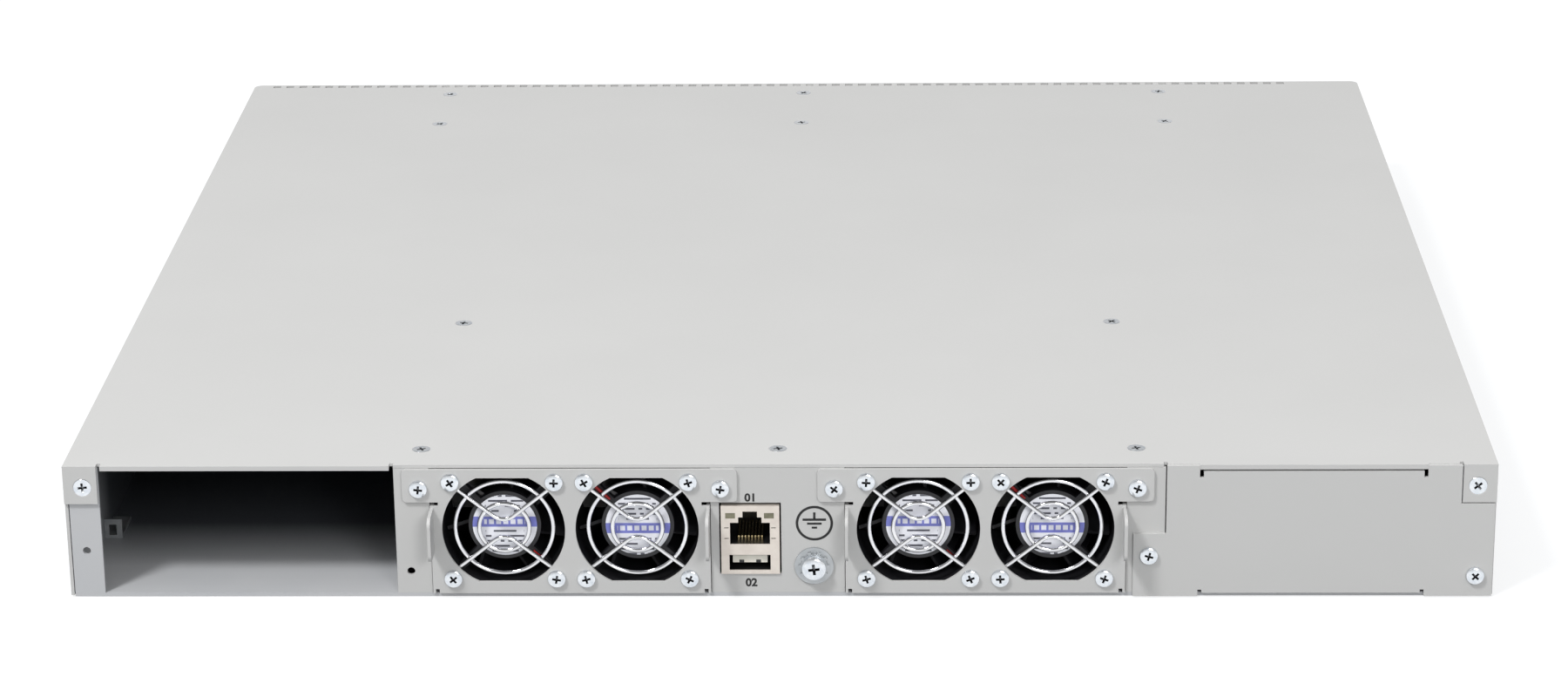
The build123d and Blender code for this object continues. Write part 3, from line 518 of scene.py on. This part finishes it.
def scatterTree():
    # a screw on each point, turned about its own axis by a seeded amount, then laid to its face
    tree = bpy.data.node_groups.new("setScrews", "GeometryNodeTree")
    face = tree.interface
    face.new_socket("Geometry", in_out="INPUT", socket_type="NodeSocketGeometry")
    face.new_socket("Screw", in_out="INPUT", socket_type="NodeSocketObject")
    face.new_socket("Facing", in_out="INPUT", socket_type="NodeSocketVector")
    face.new_socket("Seed", in_out="INPUT", socket_type="NodeSocketInt")
    face.new_socket("Finish", in_out="INPUT", socket_type="NodeSocketMaterial")
    face.new_socket("Geometry", in_out="OUTPUT", socket_type="NodeSocketGeometry")
    start = addNode(tree, "NodeGroupInput")
    turn = addNode(tree, "FunctionNodeRandomValue", {"Seed": (start, "Seed")}, {3: 2 * math.pi})
    spin = addNode(tree, "ShaderNodeCombineXYZ", {"Z": (turn, 1)})
    shape = addNode(tree, "GeometryNodeObjectInfo", {"Object": (start, "Screw")})
    facing = addNode(tree, "FunctionNodeEulerToRotation", {0: (start, "Facing")})
    own = addNode(tree, "FunctionNodeEulerToRotation", {0: (spin, 0)})
    both = addNode(tree, "FunctionNodeRotateRotation", {0: (facing, 0), 1: (own, 0)}, rotation_space="LOCAL")
    points = addNode(tree, "GeometryNodeMeshToPoints", {"Mesh": (start, "Geometry")})
    placed = addNode(tree, "GeometryNodeInstanceOnPoints",
                     {"Points": (points, 0), "Instance": (shape, "Geometry"), "Rotation": (both, 0)})
    real = addNode(tree, "GeometryNodeRealizeInstances", {0: (placed, 0)})
    coated = addNode(tree, "GeometryNodeSetMaterial", {"Geometry": (real, 0), "Material": (start, "Finish")})
    addNode(tree, "NodeGroupOutput", {0: (coated, 0)})
    return tree


def setInputs(modifier, values):
    sockets = {item.name: item.identifier for item in modifier.node_group.interface.items_tree
               if item.in_out == "INPUT"}
    for name, value in values.items():
        modifier[sockets[name]] = value


screwTree = scatterTree()
screwModels = {kind: screwObject(kind) for kind in screwKinds}


def rearPoint(box, headH):
    low, high = box
    return ((low.x + high.x) / 2, low.y + headH * mm, (low.z + high.z) / 2)


def setScrews(node, kind, points, facing, seed):
    mesh = bpy.data.meshes.new(node + "_points")
    mesh.from_pydata(points, [], [])
    piece = meshObject(node + "_set_" + kind, mesh)
    modifier = piece.modifiers.new("setScrews", "NODES")
    modifier.node_group = screwTree
    zinc = mat["blueZinc"]
    setInputs(modifier, {"Screw": screwModels[kind], "Facing": facing, "Seed": seed, "Finish": zinc})
    piece = baked(piece)
    standIn(piece, node, zinc)
    return piece


towardsRear = (math.pi / 2, 0, 0)
for seedNumber, (node, kind) in enumerate((("fan_screws_left", "pan"), ("fan_screws_right", "pan"),
                                           ("module_screws_left", "pan"), ("module_screws_right", "pan"),
                                           ("blank_screws", "pan"), ("earth_screw", "earth"))):
    headHeight = screwKinds[kind]["headH"] + (0.2 if node.startswith("module") else 0)
    spots = [rearPoint(b, headHeight) for b in solidsOf(node)]
    setScrews(node, kind, spots, towardsRear, seedNumber)
coverBoxes = solidsOf("cover_screws")
uprightMax = 5.2 * mm  # a cover screw's box is lower than this when the screw stands upright
upright = [(lo, hi) for lo, hi in coverBoxes if hi.z - lo.z < uprightMax]
lying = [(lo, hi) for lo, hi in coverBoxes if hi.z - lo.z >= uprightMax]
topSpots = [((lo.x + hi.x) / 2, (lo.y + hi.y) / 2, hi.z) for lo, hi in upright]
tabSpots = [((lo.x + hi.x) / 2, lo.y, (lo.z + hi.z) / 2) for lo, hi in lying]
setScrews("cover_screws", "flat", topSpots, (0, 0, 0), 11)
setScrews("cover_screws", "flat", tabSpots, towardsRear, 12).name = "cover_screws_tabs"
for model in screwModels.values():
    bpy.data.objects.remove(model)
print("screws set")


# ---------- wire guards ----------

guardShape = dict(ringOut=15.2, ringIn=7.75, wire=0.72, cornerX=14.6, cornerZ=13.2, tipZ=1.6, bend=5.0)


def guardTree():  # two rings joined to the bent wires that come in as the piece's own curve
    tree = bpy.data.node_groups.new("wireGuard", "GeometryNodeTree")
    face = tree.interface
    face.new_socket("Geometry", in_out="INPUT", socket_type="NodeSocketGeometry")
    for name in ("Outer ring", "Inner ring", "Wire", "Bend"):
        face.new_socket(name, in_out="INPUT", socket_type="NodeSocketFloat")
    face.new_socket("Centre", in_out="INPUT", socket_type="NodeSocketVector")
    face.new_socket("Finish", in_out="INPUT", socket_type="NodeSocketMaterial")
    face.new_socket("Geometry", in_out="OUTPUT", socket_type="NodeSocketGeometry")
    start = addNode(tree, "NodeGroupInput")
    circle = "GeometryNodeCurvePrimitiveCircle"
    section = addNode(tree, circle, {"Radius": (start, "Wire")}, {"Resolution": 12})
    bent = addNode(tree, "GeometryNodeFilletCurve", {"Curve": (start, "Geometry"), "Radius": (start, "Bend")},
                   {"Count": 14}, mode="POLY")
    strands = addNode(tree, "GeometryNodeCurveToMesh", {"Curve": (bent, 0), "Profile Curve": (section, 0)},
                      {"Fill Caps": True})
    join = addNode(tree, "GeometryNodeJoinGeometry")
    for name in ("Outer ring", "Inner ring"):
        ring = addNode(tree, circle, {"Radius": (start, name)}, {"Resolution": 96})
        tube = addNode(tree, "GeometryNodeCurveToMesh", {"Curve": (ring, 0), "Profile Curve": (section, 0)})
        laid = addNode(tree, "GeometryNodeTransform",
                       {"Geometry": (tube, 0), "Translation": (start, "Centre")},
                       {"Rotation": (math.pi / 2, 0, 0)})
        tree.links.new(laid.outputs[0], join.inputs[0])
    tree.links.new(strands.outputs[0], join.inputs[0])
    real = addNode(tree, "GeometryNodeRealizeInstances", {0: (join, 0)})
    coated = addNode(tree, "GeometryNodeSetMaterial", {"Geometry": (real, 0), "Material": (start, "Finish")})
    addNode(tree, "NodeGroupOutput", {0: (coated, 0)})
    return tree


wireTree = guardTree()


def wireGuard(number):
    node = "fan_guard_%d" % number
    low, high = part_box(node)
    centre = (low + high) / 2
    v = {name: value * mm for name, value in guardShape.items()}
    front, back = low.y + v["wire"] + 0.02 * mm, high.y - v["wire"]
    curve = bpy.data.curves.new(node + "_wires", "CURVE")
    curve.dimensions = "3D"
    for side in (-1, 1):
        points = [(-v["cornerX"], v["cornerZ"]), (0, v["tipZ"]), (v["cornerX"], v["cornerZ"])]
        spline = curve.splines.new("POLY")
        spline.points.add(len(points) - 1)
        for place, (x, z) in zip(spline.points, points):
            place.co = (centre.x + x, front, centre.z + side * z, 1)
    piece = bpy.data.objects.new(node + "_wires", curve)
    bpy.context.scene.collection.objects.link(piece)
    modifier = piece.modifiers.new("wireGuard", "NODES")
    modifier.node_group = wireTree
    setInputs(modifier, {"Outer ring": v["ringOut"], "Inner ring": v["ringIn"], "Wire": v["wire"],
                         "Bend": v["bend"], "Centre": (centre.x, back, centre.z),
                         "Finish": mat["chromedWire"]})
    piece = baked(piece)
    work = bmesh.new()
    work.from_mesh(piece.data)
    bmesh.ops.recalc_face_normals(work, faces=work.faces)
    work.to_mesh(piece.data)
    work.free()
    smoothByAngle(piece.data, 50)
    standIn(piece, node, mat["chromedWire"])


for fanNumber in range(1, 5):
    wireGuard(fanNumber)
print("guards bent")


# ---------- printed labels on the fans ----------

def fanLabel(side):
    node = "fan_labels_" + side
    work = bmesh.new()
    layer = work.loops.layers.uv.new("labelMap")
    for index, (low, high) in enumerate(solidsOf(node)):
        centre, radius = (low + high) / 2, (high.x - low.x) / 2 - 0.02 * mm
        flip = -1 if index == 1 else 1  # the second fan of each pair stands upside down
        for y, direction in ((low.y, 1), (high.y - 0.01 * mm, -1)):
            ring = []
            for i in range(64):
                turn = 2 * math.pi * i / 64 * direction
                x, z = centre.x + radius * math.cos(turn), centre.z + radius * math.sin(turn)
                ring.append(work.verts.new((x, y, z)))
            face = work.faces.new(ring)
            for loop in face.loops:
                u = 0.5 + flip * (loop.vert.co.x - centre.x) / (2 * radius)
                v = 0.5 + flip * (loop.vert.co.z - centre.z) / (2 * radius)
                loop[layer].uv = (u, v)
            if direction == 1:
                front = ring
        rear = ring
        for i in range(64):
            j = (i + 1) % 64
            work.faces.new((front[j], front[i], rear[-i % 64], rear[-j % 64]))
    bmesh.ops.recalc_face_normals(work, faces=work.faces)
    mesh = bpy.data.meshes.new(node + "_film")
    work.to_mesh(mesh)
    work.free()
    standIn(meshObject(node + "_film", mesh), node, mat["printedFilm"])


for moduleSide in ("left", "right"):
    fanLabel(moduleSide)
print("labels laid")


# ---------- what shows inside the combined jack ----------

def barMesh(work, x0, x1, z0, z1, y0, y1):
    made = bmesh.ops.create_cube(work, size=1)["verts"]
    for vert in made:
        x = x0 if vert.co.x < 0 else x1
        y = y0 if vert.co.y < 0 else y1
        z = z0 if vert.co.z < 0 else z1
        vert.co = (x, y, z)


jackLook = dict(tongueHeightMm=2.75, tongueDropMm=0.85, tongueDeepMm=3.0, reachMm=1.4,
                dimpleMm=1.5, dimpleTallMm=0.9, spreadMm=2.6, flatTopMm=14,
                dimpleDropMm=0.05, dimpleProudMm=0.02, dimpleDeepMm=0.3)


def jackDetail():
    # the pale insulator at the top of the flat socket, with two dark latch dimples along its lower edge
    v = {name: value * mm for name, value in jackLook.items()}
    flat = [(a, b) for a, b in solidsOf("jack_contacts") if b.z < v["flatTopMm"]]
    left, right = min(a.x for a, b in flat), max(b.x for a, b in flat)
    face = min(a.y for a, b in flat) - v["tongueDeepMm"]
    lower = max(b.z for a, b in flat) - v["tongueDropMm"]
    tongue, dimples = bmesh.new(), bmesh.new()
    barMesh(tongue, left - v["reachMm"], right + v["reachMm"], lower, lower + v["tongueHeightMm"],
            face, face + v["tongueDeepMm"])
    for side in (-1, 1):
        x = (left + right) / 2 + side * v["spreadMm"]
        barMesh(dimples, x - v["dimpleMm"] / 2, x + v["dimpleMm"] / 2, lower - v["dimpleDropMm"],
                lower + v["dimpleTallMm"], face - v["dimpleProudMm"], face + v["dimpleDeepMm"])
    details = (("flat_socket_tongue", tongue, "creamNylon"), ("flat_socket_dimples", dimples, "blackNylon"))
    for name, work, finish in details:
        mesh = bpy.data.meshes.new(name)
        work.to_mesh(mesh)
        work.free()
        piece = meshObject(name, mesh)
        paint(piece, mat[finish])
        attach(piece, "chassis")


# ---------- print on the rear panel ----------

printMarks = dict(thickMm=0.03, earthX=11.3, earthZ=24.2, ringR=5.75, stroke=0.8, numberMm=3.6,
                  upperZ=31.5, lowerZ=3.3, numberX=-8.3, heavierMm=0.13)


def earthMark():
    v = printMarks
    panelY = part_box("rear_panel")[0].y
    y0, y1 = panelY - v["thickMm"] * mm, panelY
    work = bmesh.new()
    rings = []
    for radius in (v["ringR"], v["ringR"] - v["stroke"]):
        for y in (y0, y1):
            ring = []
            for i in range(72):
                turn = 2 * math.pi * i / 72
                ring.append(work.verts.new((v["earthX"] * mm + radius * mm * math.cos(turn), y,
                                            v["earthZ"] * mm + radius * mm * math.sin(turn))))
            rings.append(ring)
    outFront, outBack, inFront, inBack = rings
    for a, b in ((outFront, outBack), (outBack, inBack), (inBack, inFront), (inFront, outFront)):
        for i in range(72):
            j = (i + 1) % 72
            work.faces.new((a[i], a[j], b[j], b[i]))
    # the stem and the three bars: width, lower edge and upper edge in mm about the ring's centre
    strokes = [(0.75, 1.4, 3.6), (7.2, 0.8, 1.55), (4.5, -0.5, 0.2), (1.7, -1.8, -1.15)]
    for wide, z0, z1 in strokes:
        barMesh(work, (v["earthX"] - wide / 2) * mm, (v["earthX"] + wide / 2) * mm,
                (v["earthZ"] + z0) * mm, (v["earthZ"] + z1) * mm, y0, y1)
    bmesh.ops.recalc_face_normals(work, faces=work.faces)
    mesh = bpy.data.meshes.new("earth_mark")
    work.to_mesh(mesh)
    work.free()
    return meshObject("earth_mark", mesh)


def portNumber(text, z):
    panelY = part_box("rear_panel")[0].y
    curve = bpy.data.curves.new("port_number_" + text, "FONT")
    curve.body, curve.size = text, printMarks["numberMm"] * mm
    curve.align_x, curve.extrude = "CENTER", printMarks["thickMm"] * mm / 2
    curve.offset = printMarks["heavierMm"] * mm
    piece = meshObject("port_number_" + text, curve)
    piece = baked(piece)
    piece.data.transform(Matrix.Rotation(math.pi / 2, 4, "X"))
    y = panelY - printMarks["thickMm"] * mm / 2
    piece.data.transform(Matrix.Translation((printMarks["numberX"] * mm, y, z * mm)))
    return piece


jackDetail()
for printed in (earthMark(), portNumber("01", printMarks["upperZ"]), portNumber("02", printMarks["lowerZ"])):
    paint(printed, mat["printInk"])
    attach(printed, "chassis")
print("marks printed")


# ---------- camera, floor and light ----------

cameraPlace = dict(position=(0.037, -1.417, 0.513), aim=(0.0026, -0.210, 0.0813), lens=97.1,
                   rollDegrees=-0.687)


def placeCamera():
    data = bpy.data.cameras.new("camera")
    data.sensor_width, data.lens = 36.0, cameraPlace["lens"]
    camera = bpy.data.objects.new("camera", data)
    bpy.context.scene.collection.objects.link(camera)
    position, aim = Vector(cameraPlace["position"]), Vector(cameraPlace["aim"])
    ahead = (aim - position).normalized()
    level = ahead.cross(Vector((0, 0, 1))).normalized()
    roll = Matrix.Rotation(-math.radians(cameraPlace["rollDegrees"]), 3, ahead)
    right = roll @ level
    up = right.cross(ahead)
    matrix = Matrix((right, up, -ahead)).transposed().to_4x4()
    matrix.translation = position
    camera.matrix_world = matrix
    data.clip_start, data.clip_end = 0.05, 50
    bpy.context.scene.camera = camera


def makeFloor():
    work = bmesh.new()
    bmesh.ops.create_grid(work, x_segments=1, y_segments=1, size=12)
    mesh = bpy.data.meshes.new("floor")
    work.to_mesh(mesh)
    work.free()
    floor = meshObject("floor", mesh)
    floor.location.z = lowCorner.z - lighting["floorGap"]
    material, tree, shader = newMaterial("paleFloor")
    shader.inputs["Base Color"].default_value = linear(lighting["floorHex"])
    shader.inputs["Roughness"].default_value = 0.9
    shader.inputs["Specular IOR Level"].default_value = 0.0
    ray = addNode(tree, "ShaderNodeLightPath")
    either = addNode(tree, "ShaderNodeMath", {0: (ray, "Is Camera Ray"), 1: (ray, "Is Glossy Ray")},
                     operation="MAXIMUM")
    lift = addNode(tree, "ShaderNodeMath", {0: (either, 0)}, {1: lighting["floorLift"]}, operation="MULTIPLY")
    shader.inputs["Emission Color"].default_value = (1, 1, 1, 1)
    tree.links.new(lift.outputs[0], shader.inputs["Emission Strength"])
    paint(floor, material)


lighting = dict(skyTop=0.98, skyLevel=0.4, glossLow=0.85, glossHigh=0.16, skyFrom=0.05, skyTo=0.75,
                glossFrom=0.22, glossTo=0.6, floorHex="#8f9193", floorLift=0.72, floorGap=0.0002,
                keyWatts=48.0, keyFrom=(-1.15, -1.55, 2.35), keySize=0.5,
                fillWatts=8.0, fillFrom=(0.5, -1.7, 0.8), fillSize=0.5, aim=(0, -0.1, 0.02))


def areaLight(name, watts, place, size):
    data = bpy.data.lights.new(name, "AREA")
    data.energy, data.size, data.shape = watts, size, "DISK"
    lamp = bpy.data.objects.new(name, data)
    bpy.context.scene.collection.objects.link(lamp)
    lamp.location = place
    lamp.rotation_mode = "QUATERNION"
    ahead = Vector(lighting["aim"]) - Vector(place)
    lamp.rotation_quaternion = ahead.to_track_quat("-Z", "Y")


def makeWorld():
    world = bpy.data.worlds.new("studio")
    bpy.context.scene.world = world
    world.use_nodes = True
    tree = world.node_tree
    background = tree.nodes["Background"]
    background.inputs["Color"].default_value = (1, 1, 1, 1)
    place = addNode(tree, "ShaderNodeTexCoord")
    axes = addNode(tree, "ShaderNodeSeparateXYZ", {0: (place, "Generated")})
    sky = addNode(tree, "ShaderNodeMapRange", {"Value": (axes, "Z")},  # brighter overhead
                  {"From Min": lighting["skyFrom"], "From Max": lighting["skyTo"],
                   "To Min": lighting["skyLevel"], "To Max": lighting["skyTop"]})
    banded = addNode(tree, "ShaderNodeMapRange", {"Value": (axes, "Z")},  # what bright metal mirrors
                     {"From Min": lighting["glossFrom"], "From Max": lighting["glossTo"],
                      "To Min": lighting["glossLow"], "To Max": lighting["glossHigh"]})
    ray = addNode(tree, "ShaderNodeLightPath")
    mirrored = addNode(tree, "ShaderNodeMix", {0: (ray, "Is Glossy Ray"), 2: (sky, 0), 3: (banded, 0)},
                       data_type="FLOAT")
    seen = addNode(tree, "ShaderNodeMath", {0: (ray, "Is Camera Ray"), 1: (ray, "Is Transmission Ray")},
                   operation="MAXIMUM")
    level = addNode(tree, "ShaderNodeMix", {0: (seen, 0), 2: (mirrored, 0)}, {3: 1.0}, data_type="FLOAT")
    tree.links.new(level.outputs[0], background.inputs["Strength"])


placeCamera()
makeWorld()
makeFloor()
areaLight("key", lighting["keyWatts"], lighting["keyFrom"], lighting["keySize"])
areaLight("fill", lighting["fillWatts"], lighting["fillFrom"], lighting["fillSize"])
bpy.context.scene.view_settings.view_transform = "Standard"
print("stage set")
